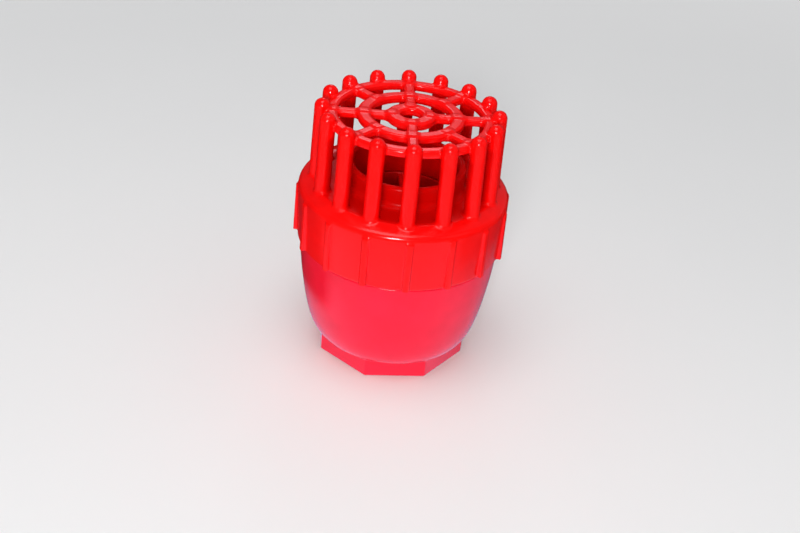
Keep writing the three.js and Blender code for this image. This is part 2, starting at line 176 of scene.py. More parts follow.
def thread(angle, radius, z, out, start, lead, turns, fade,
           root, depth, back, tip_half, slope, flank, crest_blend):
    """Thread ridge. out is 1 for an outside thread, -1 for an inside one.

    root and back are radii, tip_half is half the crest width, slope widens the ridge
    towards the root, and flank turns the axial distance into a true one.
    """
    offset, share = helix(angle, z, start, lead, turns, fade)
    tip = round(root + out * depth, 3)
    half = tip_half + out * (tip - radius) * slope
    past_crest = out * (radius - (root + out * depth * share))
    ridge = smax((np.abs(offset) - half) * flank, past_crest, crest_blend)
    return smax(ridge, out * (back - radius), 0.1)


# ------------------------------------------------------------------ meshes
def mesh_object(name, co, faces):
    mesh = bpy.data.meshes.new(name)
    mesh.from_pydata((np.asarray(co) * MM).tolist(), [], faces)
    mesh.validate(clean_customdata=False)
    mesh.polygons.foreach_set("use_smooth", [True] * len(mesh.polygons))
    mesh.update()
    piece = bpy.data.objects.new(name, mesh)
    bpy.context.scene.collection.objects.link(piece)
    return piece


def at_points(field, co):
    angle = np.arctan2(co[:, 0], -co[:, 1]) % TAU
    return field(angle, np.hypot(co[:, 0], co[:, 1]), co[:, 2])


def gradient(field, co, step):
    out = np.empty_like(co)
    for q in range(3):
        shift = np.zeros(3)
        shift[q] = step
        out[:, q] = (at_points(field, co + shift) - at_points(field, co - shift)) / (2 * step)
    return out


def settle(field, co, grad):
    """Moves points along their gradients onto field = 0."""
    grad = grad / np.maximum((grad * grad).sum(1), 0.05)[:, None]
    for _ in range(2):
        co = co - np.clip(at_points(field, co), -0.3, 0.3)[:, None] * grad
    return co


def sample(field, angles, radii, heights):
    """Field on the grid, with the first angle repeated last and the outer faces kept empty."""
    values = field(angles[:, None, None], radii[None, :, None], heights[None, None, :])
    shape = (len(angles), len(radii), len(heights))
    values = np.broadcast_to(values, shape).astype(np.float32)
    values = np.where(values == 0, np.float32(1e-6), values)
    for face in (values[:, 0], values[:, -1], values[:, :, 0], values[:, :, -1]):
        face[...] = np.abs(face) + 1e-3
    return np.concatenate([values, values[:1]], 0)


def surface_cells(values):
    """Numbering of the cells that hold surface, their grid places, and their corner values."""
    inside = values < 0
    shape = tuple(n - 1 for n in values.shape)
    some, every = np.zeros(shape, bool), np.ones(shape, bool)
    offsets = [(i, j, k) for i in (0, 1) for j in (0, 1) for k in (0, 1)]
    for i, j, k in offsets:
        corner = inside[i : i + shape[0], j : j + shape[1], k : k + shape[2]]
        some |= corner
        every &= corner
    cells = np.nonzero(some & ~every)
    index = np.full(shape, -1, np.int64)
    index[cells] = np.arange(len(cells[0]))
    corners = {
        (i, j, k): values[cells[0] + i, cells[1] + j, cells[2] + k] for i, j, k in offsets
    }
    return index, cells, corners


def corner_key(along, end, b, c):
    key = [b, c]
    key.insert(along, end)
    return tuple(key)


def crossing_mean(corners):
    """Mean place, as shares of the cell, where the surface cuts the twelve cell edges."""
    count = len(corners[0, 0, 0])
    total, found = np.zeros((count, 3)), np.zeros(count)
    for along in range(3):
        for b, c in ((0, 0), (0, 1), (1, 0), (1, 1)):
            start = corners[corner_key(along, 0, b, c)]
            end = corners[corner_key(along, 1, b, c)]
            cross = (start < 0) != (end < 0)
            part = np.where(cross, start / np.where(cross, start - end, 1), 0)
            place = corner_key(along, part, b, c)
            for q in range(3):
                total[:, q] += np.where(cross, place[q], 0)
            found += cross
    return total / found[:, None]


def rise(corners, along):
    """Mean change of the field across each cell in one grid direction."""
    total = 0.0
    for end, sign in ((1, 1), (0, -1)):
        for b, c in ((0, 0), (1, 0), (0, 1), (1, 1)):
            total = total + sign * corners[corner_key(along, end, b, c)].astype(float)
    return total / 4


def net_faces(index, inside):
    """A quad round every grid edge that changes side."""
    ring = inside[:-1]
    # changed edges, shift to grid numbering, and the four cells round the edge
    cases = (
        (ring[:, 1:-1, 1:-1] != inside[1:, 1:-1, 1:-1], (0, 1, 1),
         ((0, -1, -1), (0, 0, -1), (0, 0, 0), (0, -1, 0))),
        (ring[:, :-1, 1:-1] != ring[:, 1:, 1:-1], (0, 0, 1),
         ((-1, 0, -1), (-1, 0, 0), (0, 0, 0), (0, 0, -1))),
        (ring[:, 1:-1, :-1] != ring[:, 1:-1, 1:], (0, 1, 0),
         ((-1, -1, 0), (0, -1, 0), (0, 0, 0), (-1, 0, 0))),
    )
    quads = []
    for changed, shift, cells in cases:
        i, j, k = (n + s for n, s in zip(np.nonzero(changed), shift))
        quad = np.stack([index[i + di, j + dj, k + dk] for di, dj, dk in cells], 1)
        outward = inside[i, j, k]
        quad[~outward] = quad[~outward][:, ::-1]
        quads.append(quad)
    return np.concatenate(quads)


def thin(piece, name, field, keep):
    """Collapses flat areas to a share of the triangles and settles the points again."""
    piece.modifiers.new("thin", "DECIMATE").ratio = keep
    graph = bpy.context.evaluated_depsgraph_get()
    slim = bpy.data.meshes.new_from_object(piece.evaluated_get(graph))
    piece.modifiers.clear()
    full = piece.data
    piece.data = slim
    bpy.data.meshes.remove(full)
    slim.name = name
    co = np.empty(len(slim.vertices) * 3)
    slim.vertices.foreach_get("co", co)
    co = co.reshape(-1, 3) / MM
    co = settle(field, co, gradient(field, co, 0.02))
    slim.vertices.foreach_set("co", (co * MM).ravel())
    return co


def shade(mesh, field, co):
    """Normals from the field, and "bend": how far the surface bends outward at each point."""
    grad = gradient(field, co, 0.05)
    step = 0.25
    bend = -6 * at_points(field, co)
    for q in range(3):
        shift = np.zeros(3)
        shift[q] = step
        bend += at_points(field, co + shift) + at_points(field, co - shift)
    layer = mesh.attributes.new("bend", "FLOAT", "POINT")
    layer.data.foreach_set("value", np.clip(bend / step**2, -4, 4).astype(np.float32))
    mesh.polygons.foreach_set("use_smooth", [True] * len(mesh.polygons))
    length = np.maximum(np.linalg.norm(grad, axis=1, keepdims=True), 1e-9)
    mesh.normals_split_custom_set_from_vertices((grad / length).tolist())
    mesh.update()


def nets(name, field, angles, radii, heights, keep):
    """Surface of a field as quads on a cylindrical grid, moved onto the exact surface and thinned."""
    values = sample(field, angles, radii, heights)
    index, cells, corners = surface_cells(values)
    starts = [grid[cell] for grid, cell in zip((angles, radii, heights), cells)]
    next_angles = np.append(angles[1:], angles[0] + TAU)
    ends = [next_angles[cells[0]], radii[cells[1] + 1], heights[cells[2] + 1]]
    sizes = [end - start for start, end in zip(starts, ends)]
    share = crossing_mean(corners)
    angle, radius, z = (starts[q] + share[:, q] * sizes[q] for q in range(3))
    by_angle = rise(corners, 0) / (sizes[0] * radius)
    by_radius = rise(corners, 1) / sizes[1]
    by_z = rise(corners, 2) / sizes[2]
    sin, cos = np.sin(angle), np.cos(angle)
    grad = [by_radius * sin + by_angle * cos, -by_radius * cos + by_angle * sin, by_z]
    co = np.stack([radius * sin, -radius * cos, z], 1)
    co = settle(field, co, np.stack(grad, 1))

    quads = net_faces(index, values < 0)
    p = co[quads]
    volume = (np.cross(p[:, 0], p[:, 1]) * p[:, 2]).sum()
    volume += (np.cross(p[:, 0], p[:, 2]) * p[:, 3]).sum()
    if volume < 0:
        quads = quads[:, ::-1]
    piece = mesh_object(name, co, quads.tolist())
    co = thin(piece, name, field, keep)
    shade(piece.data, field, co)
    return piece


def axis(low, *runs):
    """Grid positions from low, as (end, step) runs."""
    out = [np.array([low])]
    for end, step in runs:
        count = max(1, int(round((end - out[-1][-1]) / step)))
        out.append(np.linspace(out[-1][-1], end, count + 1)[1:])
    return np.concatenate(out)


def turn(count):
    return np.arange(count) * TAU / count


def turn_fine(sectors, half, fine, coarse):
    """Angles closer together within half (degrees) of each sector's middle; steps in degrees."""
    width = 360 / sectors
    fine_count = round(2 * half / fine)
    coarse_count = round((width - 2 * half) / coarse)
    one = np.concatenate([
        np.linspace(-half, half, fine_count + 1)[:-1],
        np.linspace(half, width - half, coarse_count + 1)[:-1],
    ])
    return np.sort(np.concatenate([np.radians(one + width * i) % TAU for i in range(sectors)]))


def orient(co, faces):
    """Turns all the faces over if they enclose a negative volume."""
    volume = 0.0
    for face in faces:
        for i in range(1, len(face) - 1):
            volume += float(np.dot(np.cross(co[face[0]], co[face[i]]), co[face[i + 1]]))
    return [face[::-1] for face in faces] if volume < 0 else faces


def revolve(name, profile, steps, closed=True, cut=None):
    """Mesh turned about +Z from an (r, z) profile. An open profile starts and ends on the axis.

    cut(angles, r, z) may change the radius.
    """
    profile = np.asarray(profile, float)
    angles = turn(steps)
    rows = profile if closed else profile[1:-1]
    co, faces = [], []
    for r, z in rows:
        radii = cut(angles, r, z) if cut else np.full(steps, r)
        co.append(np.stack([radii * np.sin(angles), -radii * np.cos(angles), np.full(steps, z)], 1))
    co = np.concatenate(co)
    for row in range(len(rows) if closed else len(rows) - 1):
        near, far = row * steps, (row + 1) % len(rows) * steps
        for i in range(steps):
            i2 = (i + 1) % steps
            faces.append((near + i, near + i2, far + i2, far + i))
    if not closed:
        pole, top = len(co), (len(rows) - 1) * steps
        co = np.concatenate([co, [[0, 0, profile[0][1]], [0, 0, profile[-1][1]]]])
        for i in range(steps):
            i2 = (i + 1) % steps
            faces.append((pole, i2, i))
            faces.append((pole + 1, top + i, top + i2))
    return mesh_object(name, co, orient(co, faces))


def sweep(path, section):
    """A closed (outward, up) section carried along a path that winds round +Z, ends capped."""
    count, size = len(path), len(section)
    co, faces = [], []
    for i, point in enumerate(path):
        along = path[min(i + 1, count - 1)] - path[max(i - 1, 0)]
        along = along / np.linalg.norm(along)
        out = np.array([point[0], point[1], 0.0])
        out = out / np.linalg.norm(out)
        up = np.cross(along, out)
        up = up / np.linalg.norm(up)
        if up[2] < 0:
            up = -up
        side = np.cross(up, along)
        if side @ out < 0:
            side = -side
        co += [point + side * outward + up * upward for outward, upward in section]
    for i in range(count - 1):
        near, far = i * size, (i + 1) * size
        for j in range(size):
            j2 = (j + 1) % size
            faces.append((near + j, near + j2, far + j2, far + j))
    faces.append(tuple(range(size))[::-1])
    faces.append(tuple((count - 1) * size + j for j in range(size)))
    return np.array(co), faces


pieces_in_slot = {}


def fit(piece, rides, replaces, slot):
    """Tells the frame what a piece moves with, stands for and is made of."""
    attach(piece, rides)
    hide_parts(replaces)
    pieces_in_slot.setdefault(slot, []).append(piece)


# Outlines below are (r, z, corner radius) when rounded, and (r, z) otherwise.

# ------------------------------------------------------------------ strainer cap
COLLAR = rounded([
    (28.35, 36.7, 0.3), (30.0, 36.7, 0.55), (30.3, 53.45, 2.0), (26.0, 55.1, 1.6),
    (25.0, 55.0, 0.4), (17.3, 55.0, 2.0), (17.2, 61.1, 1.0), (15.0, 61.1, 1.0),
    (15.0, 49.6, 0.2), (17.25, 49.6, 0.3), (17.25, 52.6, 0.3), (28.1, 52.6, 0.5),
    (28.1, 37.2, 0.25),
], parts=8)
COLLAR_THREAD = dict(
    out=-1, start=41.6, lead=NECK_LEAD, turns=1.7, fade=0.25, root=28.3, depth=1.3, back=28.6,
    tip_half=0.5, slope=0.42, flank=0.92, crest_blend=0.3,
)
GRIP_RIB = np.array([(28.8, 37.05), (31.25, 37.05), (30.85, 51.6), (29.6, 52.6), (28.8, 52.6)])
GRIP_TURN = math.radians(2.0)
GRIP_HALF_WIDTH, GRIP_WIDTH_RADIUS, GRIP_TAPER = 1.05, 29.6, 0.06
FINGER_RADIUS = 2.2
FINGER_START_Z = 53.6
FINGER_FOOT, FINGER_TIP = (25.25, 53.4), (24.5, 76.0)  # (r, z) ends of the leaning middle line
GRILLE_Z = 74.5
# inner radius, outer radius, half height, edge rounding
GRILLE_RINGS = ((20.3, 23.6, 1.2, 0.95), (11.3, 15.0, 1.2, 0.95), (2.9, 6.9, 1.25, 0.9))
# turn, half width, half height, edge rounding, start radius:
# four full spokes, and four short ones between the outer two rings
SPOKES = ((0.0, 1.5, 1.15, 0.85, 4.6), (TAU / 8, 1.6, 1.12, 0.8, 12.8))
SPOKE_COUNT, SPOKE_END = 4, 22.2


def finger_field(angle, radius, z):
    """Capsules leaning inward."""
    across, out = sector(angle, radius, GRIP_COUNT)
    (foot_r, foot_z), (tip_r, tip_z) = FINGER_FOOT, FINGER_TIP
    run, lift = tip_r - foot_r, tip_z - foot_z
    t = ((out - foot_r) * run + (z - foot_z) * lift) / (run * run + lift * lift)
    t = np.clip(t, 0, 1)
    off_r, off_z = out - foot_r - run * t, z - foot_z - lift * t
    capsule = np.sqrt(across * across + off_r * off_r + off_z * off_z) - FINGER_RADIUS
    return smax(capsule, FINGER_START_Z - z, 0.2)


def grille_field(angle, radius, z):
    level = np.abs(z - GRILLE_Z)
    dist = np.minimum.reduce([
        slab(np.abs(radius - (low + high) / 2) - (high - low) / 2, level - half_height, rounding)
        for low, high, half_height, rounding in GRILLE_RINGS
    ])
    for spoke_turn, half_width, half_height, rounding, start in SPOKES:
        across, out = sector(angle, radius, SPOKE_COUNT, spoke_turn)
        bar = slab(np.abs(across) - half_width, level - half_height, rounding)
        spoke = smax(smax(bar, start - out, 0.3), out - SPOKE_END, 0.3)
        dist = smin(dist, spoke, 1.1)
    return dist


def cap_field(angle, radius, z):
    dist = poly_sd(radius, z, COLLAR)
    dist = smin(dist, thread(angle, radius, z, **COLLAR_THREAD), 0.25)
    across, out = sector(angle, radius, GRIP_COUNT, GRIP_TURN)
    width = np.abs(across) - GRIP_HALF_WIDTH + (out - GRIP_WIDTH_RADIUS) * GRIP_TAPER
    dist = smin(dist, slab(poly_sd(out, z, GRIP_RIB), width, 0.45), 0.6)
    dist = smin(dist, finger_field(angle, radius, z), 0.9)
    return smin(dist, grille_field(angle, radius, z), 0.8)


strainer = nets(
    "strainer_basket", cap_field,
    angles=turn_fine(GRIP_COUNT, half=6.6, fine=0.5, coarse=1.1),
    radii=axis(2.2, (14.5, 0.32), (17.8, 0.24), (22.0, 0.4), (28.4, 0.3), (31.9, 0.26)),
    heights=axis(
        36.3, (37.7, 0.24), (51.0, 0.42), (57.6, 0.28), (60.0, 0.5), (61.6, 0.24), (72.6, 0.55),
        (78.7, 0.26),
    ),
    keep=0.33,
)
fit(strainer, "strainer", "strainer_cap", "strainer_plastic")

# ------------------------------------------------------------------ valve body
BODY_OUT = rounded([
    (10.0, 5.5, 0), (20.6, 5.5, 0.2),
    *through([
        (22.1, 5.62), (23.2, 6.05), (24.1, 6.95), (25.05, 8.7), (26.05, 11.7), (27.05, 16.4),
        (27.85, 21.5), (28.5, 26.6), (28.98, 31.7), (29.2, 35.4),
    ]),
    (29.25, 36.3, 0.5), (26.6, 36.3, 0.35), (26.6, 49.0, 0.5), (10.0, 49.0, 0),
], parts=5)
BODY_IN = rounded([
    (0.5, -2, 0), (17.8, -2, 0), (17.5, 0.0, 0.2), (16.7, 0.9, 0.3), (16.7, 15.6, 0.35),
    (13.0, 15.6, 0.5), (13.0, 18.1, 0.4), (16.6, 18.1, 0.3), (16.6, 20.8, 0.4), (19.2, 20.8, 0.5),
    (19.5, 9.2, 0.8), (20.4, 8.8, 0.8), (21.6, 8.8, 1.2), (22.7, 10.4, 2.0), (23.3, 15, 4),
    (23.8, 22, 8), (24.1, 34, 10), (24.2, 49.0, 0.5), (24.9, 51, 0), (0.5, 51, 0),
], parts=4)
OCTAGON_FLAT = 21.6  # from the axis to a flat
OCTAGON_ROUND = 0.45
OCTAGON_HALF_HEIGHT = 3.9
OCTAGON_TURN = math.radians(3.4)
# pipe thread, cut to the standard depth, with rounded crests
PIPE_THREAD = dict(
    out=-1, start=1.9, lead=2.309, turns=5.5, fade=0.35, root=16.95, depth=1.8, back=17.1,
    tip_half=0.24, slope=0.53, flank=0.88, crest_blend=0.25,
)
NECK_THREAD = dict(
    out=1, start=39.6, lead=NECK_LEAD, turns=1.9, fade=0.25, root=26.35, depth=1.35, back=26.1,
    tip_half=0.5, slope=0.42, flank=0.92, crest_blend=0.3,
)


def octagon_field(angle, radius, z):
    across, out = sector(angle, radius, 8, OCTAGON_TURN)
    flat = OCTAGON_FLAT - OCTAGON_ROUND
    past_corner = np.maximum(np.abs(across) - flat * math.tan(math.pi / 8), 0)
    past_flat = out - flat
    outline = np.where(past_flat > 0, np.hypot(past_corner, past_flat), past_flat) - OCTAGON_ROUND
    return slab(outline, np.abs(z - OCTAGON_HALF_HEIGHT) - OCTAGON_HALF_HEIGHT, 0.55)


def body_field(angle, radius, z):
    dist = smin(poly_sd(radius, z, BODY_OUT), octagon_field(angle, radius, z), 0.5)
    dist = smax(dist, -poly_sd(radius, z, BODY_IN), 0.12)
    dist = smin(dist, thread(angle, radius, z, **PIPE_THREAD), 0.2)
    return smin(dist, thread(angle, radius, z, **NECK_THREAD), 0.25)


body = nets(
    "valve_bowl", body_field,
    angles=turn(432),
    radii=axis(12.4, (17.6, 0.28), (20.4, 0.36), (30.2, 0.36)),
    heights=axis(-0.5, (9.6, 0.28), (20.0, 0.34), (35.0, 0.6), (49.7, 0.36)),
    keep=0.44,
)
fit(body, "body", "valve_body", "body_plastic")

# ------------------------------------------------------------------ seat ring
SEAT = rounded([
    (15.2, 43.6, 0.3), (16.25, 43.6, 0.35), (17.0, 44.7, 0.3), (17.0, 47.6, 0.4),
    (20.6, 47.6, 0.4), (20.6, 46.0, 0.35), (23.9, 46.0, 0.35), (23.9, 46.7, 0.15),
    (22.2, 46.7, 0.2), (22.2, 48.6, 0.2), (23.9, 48.6, 0.15), (23.9, 49.3, 0.15),
    (26.5, 49.3, 0.25), (26.5, 50.8, 0.4), (17.55, 50.8, 0.3), (17.55, 49.3, 0.2),
    (15.0, 49.3, 0.2), (15.0, 43.9, 0.3),
], parts=5)
SEAT_ARM = np.array([(3.4, 46.95), (15.9, 46.95), (15.9, 48.55), (5.0, 49.35), (3.4, 49.45)])
SEAT_ARM_END = 16.2
SEAT_HUB_RADIUS, SEAT_HUB_Z, SEAT_HUB_HALF_HEIGHT = 4.4, 48.2, 2.2


def seat_field(angle, radius, z):
    arm = web(angle, radius, z, ARM_COUNT, SEAT_ARM, grow=0.25, half_width=1.0, rounding=0.45)
    dist = smin(poly_sd(radius, z, SEAT), smax(arm, radius - SEAT_ARM_END, 0.1), 0.6)
    hub_height = np.abs(z - SEAT_HUB_Z) - SEAT_HUB_HALF_HEIGHT
    dist = smin(dist, slab(radius - SEAT_HUB_RADIUS, hub_height, 0.55), 0.6)
    return bored(dist, radius, z, middle=SEAT_HUB_Z, half_height=6, blend=0.25)


seat = nets(
    "seat_insert", seat_field,
    angles=turn(336), radii=axis(2.2, (27.3, 0.28)), heights=axis(43.1, (51.3, 0.28)), keep=0.6,
)
fit(seat, "body", "seat_ring", "insert_plastic")

# ------------------------------------------------------------------ lower guide
GUIDE_RING = rounded([(13.2, 18.4, 0.4), (16.3, 18.4, 0.3), (16.3, 20.4, 0.3), (13.2, 20.4, 0.4)])
GUIDE_HUB = rounded([
    (1.5, 16.6, 0), (4.0, 16.6, 0.4), (4.6, 17.4, 0.3), (4.6, 18.4, 0.4), (7.9, 18.6, 0.4),
    (7.9, 20.4, 0.3), (4.6, 20.4, 0.3), (4.6, 23.4, 0.3), (4.0, 24.0, 0.4), (1.5, 24.0, 0),
])
GUIDE_ARM = np.array([
    (6.5, 17.35), (12.5, 17.3), (12.5, 18.7), (13.7, 18.7), (13.7, 20.1), (6.5, 20.1),
])


def guide_field(angle, radius, z):
    arm = web(angle, radius, z, ARM_COUNT, GUIDE_ARM, grow=0.2, half_width=1.0, rounding=0.4)
    dist = smin(poly_sd(radius, z, GUIDE_RING), arm, 0.5)
    dist = smin(dist, poly_sd(radius, z, GUIDE_HUB), 0.5)
    return bored(dist, radius, z, middle=20, half_height=8, blend=0.25)


guide = nets(
    "stem_guide_spider", guide_field,
    angles=turn(240), radii=axis(2.2, (17.0, 0.26)), heights=axis(16.1, (24.5, 0.26)), keep=0.6,
)
fit(guide, "body", "lower_guide", "insert_plastic")

# ------------------------------------------------------------------ poppet disc
DISC = rounded([
    (1.5, 35.0, 0), (4.9, 35.0, 0.3), (5.4, 35.6, 0.3), (5.4, 39.5, 0.8), (17.5, 39.5, 0.3),
    (18.0, 40.0, 0.4), (18.0, 41.2, 0.3), (17.7, 41.5, 0.3), (1.5, 41.5, 0),
])
DISC_RIB = np.array([(8.65, 37.15), (10.1, 37.15), (16.5, 39.25), (16.5, 40.0), (8.65, 40.0)])
DISC_RIB_COUNT = 6


def disc_field(angle, radius, z):
    rib = web(angle, radius, z, DISC_RIB_COUNT, DISC_RIB, grow=0.25, half_width=0.8, rounding=0.35)
    dist = smin(poly_sd(radius, z, DISC), rib, 0.6)
    return bored(dist, radius, z, middle=38, half_height=9, blend=0.2)


disc = nets(
    "poppet_plate", disc_field,
    angles=turn(240), radii=axis(2.2, (18.9, 0.28)), heights=axis(34.5, (42.0, 0.26)), keep=0.6,
)
fit(disc, "poppet", "poppet_disc", "insert_plastic")

# ------------------------------------------------------------------ nut
NUT_Z, NUT_HALF_HEIGHT = 31.5, 1.9
NUT_FLAT = 4.0  # from the axis to a flat
NUT_BEVEL_RADIUS, NUT_BEVEL_HEIGHT = 4.35, 1.78
NUT_BORE, NUT_BORE_MOUTH = 2.78, 3.05


def nut_field(angle, radius, z):
    out = sector(angle, radius, 6, TAU / 12)[1]
    height = np.abs(z - NUT_Z)
    dist = smax(out - NUT_FLAT, height - NUT_HALF_HEIGHT, 0.15)
    # bevelled corners at both ends (60 degrees from the flat end), and a 45 degree countersink
    bevel = (radius - NUT_BEVEL_RADIUS) * 0.5 + (height - NUT_BEVEL_HEIGHT) * 0.866
    dist = smax(dist, bevel, 0.1)
    countersink = (radius - NUT_BORE_MOUTH + (NUT_HALF_HEIGHT - height)) * 0.707
    return smax(dist, -np.minimum(radius - NUT_BORE, countersink), 0.08)


nut = nets(
    "hex_nut", nut_field,
    angles=turn(240), radii=axis(2.3, (5.1, 0.09)), heights=axis(29.3, (33.7, 0.1)), keep=0.5,
)
fit(nut, "poppet", "stem_nut", "stainless")

# ------------------------------------------------------------------ turned pieces
GASKET = rounded([(24.6, 51.1, 0.2), (27.4, 51.1, 0.2), (27.4, 52.3, 0.2), (24.6, 52.3, 0.2)], 3)
fit(revolve("flat_gasket", GASKET, 192), "cap_seal", "cap_gasket", "nitrile_rubber")

O_RING = circle(0.7, 20, x=23.1, y=47.65)
fit(revolve("o_ring", O_RING, 192), "body", "seat_o_ring", "nitrile_rubber")

WASHER = rounded([
    (HOLE_RADIUS, 41.8, 0.15), (17.7, 41.8, 0.3), (17.7, 43.3, 0.35), (HOLE_RADIUS, 43.3, 0.15),
], parts=4)
washer = revolve("rubber_face_washer", WASHER, 160)
fit(washer, "poppet", "seal_washer", "nitrile_rubber")

BACKING = rounded([
    (HOLE_RADIUS, 43.6, 0.12), (9.5, 43.6, 0.15), (9.5, 44.6, 0.3), (HOLE_RADIUS, 44.6, 0.12),
], parts=4)
fit(revolve("backing_plate", BACKING, 128), "poppet", "backing_washer", "stainless")

# ------------------------------------------------------------------ stem
STEM_RADIUS = 2.5
STEM_THREAD_LOW, STEM_THREAD_HIGH = 27.5, 41.5
STEM_THREAD_PITCH, STEM_THREAD_DEPTH = 0.8, 0.42
STEM_PROFILE = [
    (0, 20.8), (1.8, 20.8), (2.2, 20.95), (2.42, 21.2), (STEM_RADIUS, 21.6),
    *((STEM_RADIUS, float(z)) for z in np.arange(22.8, 27.4, 1.2)),
    *((STEM_RADIUS, float(z)) for z in np.arange(STEM_THREAD_LOW, STEM_THREAD_HIGH + 0.05, 0.1)),
    # flange
    (STEM_RADIUS, 43.1), (STEM_RADIUS, 44.7), (2.6, 44.86), (4.0, 44.9), (4.2, 44.96), (4.3, 45.1),
    (4.3, 45.5), (4.2, 45.64), (4.0, 45.7), (2.6, 45.74), (STEM_RADIUS, 45.9),
    # plain end with a rounded tip
    (STEM_RADIUS, 47.0), (STEM_RADIUS, 48.2), (STEM_RADIUS, 49.4), (STEM_RADIUS, 50.5),
    (2.4, 50.82), (2.15, 51.06), (1.8, 51.17), (1.2, 51.2), (0, 51.2),
]


def stem_thread(angles, radius, z):
    radii = np.full(len(angles), float(radius))
    if STEM_THREAD_LOW < z < STEM_THREAD_HIGH:
        phase = (z / STEM_THREAD_PITCH - angles / TAU) % 1.0
        height = np.abs(phase - 0.5) * 2  # 1 at the crest
        from_end = min(z - STEM_THREAD_LOW, STEM_THREAD_HIGH - z)
        fade = min(1.0, from_end / STEM_THREAD_PITCH)
        radii = radii - STEM_THREAD_DEPTH * fade * (1 - np.clip(height * 1.25 - 0.05, 0, 1))
    return radii


stem = revolve("guide_stem", STEM_PROFILE, 48, closed=False, cut=stem_thread)
fit(stem, "poppet", "poppet_stem", "stainless")


# ------------------------------------------------------------------ lock washer
def split_washer():
    """Square wire wound a little under one turn, with its ends sprung apart."""
    radius, middle_z, spring_apart = 3.6, 34.2, 0.16
    start, gap, steps = 0.75, 0.2, 96
    wire = rounded([(-0.8, -0.38, 0.1), (0.75, -0.38, 0.1), (0.75, 0.38, 0.1), (-0.8, 0.38, 0.1)], 3)
    path = []
    for i in range(steps + 1):
        t = i / steps
        angle = start + t * (TAU - gap)
        z = middle_z + spring_apart * (t - 0.5)
        path.append(np.array([radius * math.sin(angle), -radius * math.cos(angle), z]))
    co, faces = sweep(path, wire)
    return mesh_object("split_washer", co, orient(co, faces))


fit(split_washer(), "poppet", "lock_washer", "stainless")


# ------------------------------------------------------------------ return spring
def coil_spring():
    """Spring with closed and ground ends."""
    turns, end_turns, steps_per_turn = 6.0, 1.15, 64
    wire_radius, radius = 0.6, 6.55
    low, high = 20.75, 39.15
    inset = wire_radius * 0.75  # ground ends cut into the wire
    end_rise = 2 * wire_radius + 0.1
    steps = int(turns * steps_per_turn)
    wound = np.arange(steps + 1) / steps * turns
    heights = np.interp(
        wound,
        [0, end_turns, turns - end_turns, turns],
        [low + inset, low + inset + end_rise, high - inset - end_rise, high - inset],
    )
    # smooth the change of lead, with the path mirrored through its ends
    kernel = np.hanning(31)
    kernel /= kernel.sum()
    before, after = 2 * heights[0] - heights[15:0:-1], 2 * heights[-1] - heights[-2:-17:-1]
    heights = np.convolve(np.concatenate([before, heights, after]), kernel, "valid")
    angles = wound * TAU
    path = np.stack([radius * np.sin(angles), -radius * np.cos(angles), heights], 1)
    co, faces = sweep(path, circle(wire_radius, 14))
    co[:, 2] = np.clip(co[:, 2], low, high)
    return mesh_object("coil_spring", co, orient(co, faces))


spring = coil_spring()
fit(spring, "body", "return_spring", "spring_steel")
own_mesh(spring)


# ------------------------------------------------------------------ shader helpers
def feed(target, **values):
    """Sets a node's inputs or properties; _ in a name stands for a space, sockets are linked."""
    for name, value in values.items():
        label = name.replace("_", " ")
        if label not in target.inputs:
            setattr(target, name, value)
        elif isinstance(value, bpy.types.NodeSocket):
            target.id_data.links.new(value, target.inputs[label])
        else:
            target.inputs[label].default_value = value


def feed_at(target, values):
    """Like feed, for inputs whose names repeat: values is {input number: value}."""
    for number, value in values.items():
        if isinstance(value, bpy.types.NodeSocket):
            target.id_data.links.new(value, target.inputs[number])
        else:
            target.inputs[number].default_value = value


def node(tree, kind, **values):
    made = tree.nodes.new("ShaderNode" + kind)
    feed(made, **values)
    return made


def new_material(name):
    material = bpy.data.materials.new(name)
    material.use_nodes = True
    tree = material.node_tree
    return material, tree, tree.nodes["Principled BSDF"]


def place_in(tree):
    return node(tree, "TexCoord").outputs["Object"]


def noise(tree, vector, scale, detail, roughness=0.5):
    made = node(tree, "TexNoise", Vector=vector, Scale=scale, Detail=detail, Roughness=roughness)
    return made.outputs["Fac"]


def calc(tree, operation, *operands):
    made = node(tree, "Math", operation=operation)
    feed_at(made, dict(enumerate(operands)))
    return made.outputs[0]


def mix_value(tree, factor, first, second):
    made = node(tree, "Mix", data_type="FLOAT")
    feed_at(made, {0: factor, 2: first, 3: second})
    return made.outputs[0]


def mix_color(tree, factor, first, second, blend="MIX"):
    made = node(tree, "Mix", data_type="RGBA", blend_type=blend)
    feed_at(made, {0: factor, 6: first, 7: second})
    return made.outputs[2]


def mix_shader(tree, factor, first, second):
    made = node(tree, "MixShader")
    feed_at(made, {0: factor, 1: first, 2: second})
    return made.outputs["Shader"]


def remap(tree, value, start=(0.0, 1.0), to=(0.0, 1.0)):
    """Maps the start range linearly onto the to range, clamped."""
    made = node(
        tree, "MapRange", Value=value,
        From_Min=start[0], From_Max=start[1], To_Min=to[0], To_Max=to[1],
    )
    return made.outputs["Result"]


def ramp(tree, factor, *stops):
    """Colour ramp of (position, colour) stops."""
    made = node(tree, "ValToRGB", Fac=factor)
    elements = made.color_ramp.elements
    while len(elements) > 1:
        elements.remove(elements[-1])
    elements[0].position, elements[0].color = stops[0][0], (*stops[0][1], 1)
    for position, color in stops[1:]:
        elements.new(position).color = (*color, 1)
    return made.outputs["Color"]


def bump(tree, height, strength, distance, **below):
    made = node(tree, "Bump", Strength=strength, Distance=distance, Height=height, **below)
    return made.outputs["Normal"]


def bearing(tree, vector):
    """Direction round +Z as 0..1, the front (-Y) at 0.5 and +X at 0.75; also the split vector."""
    split = node(tree, "SeparateXYZ", Vector=vector)
    forward = calc(tree, "MULTIPLY", split.outputs["Y"], -1.0)
    angle = calc(tree, "ARCTAN2", split.outputs["X"], forward)
    return calc(tree, "MULTIPLY_ADD", angle, 1 / TAU, 0.5), split


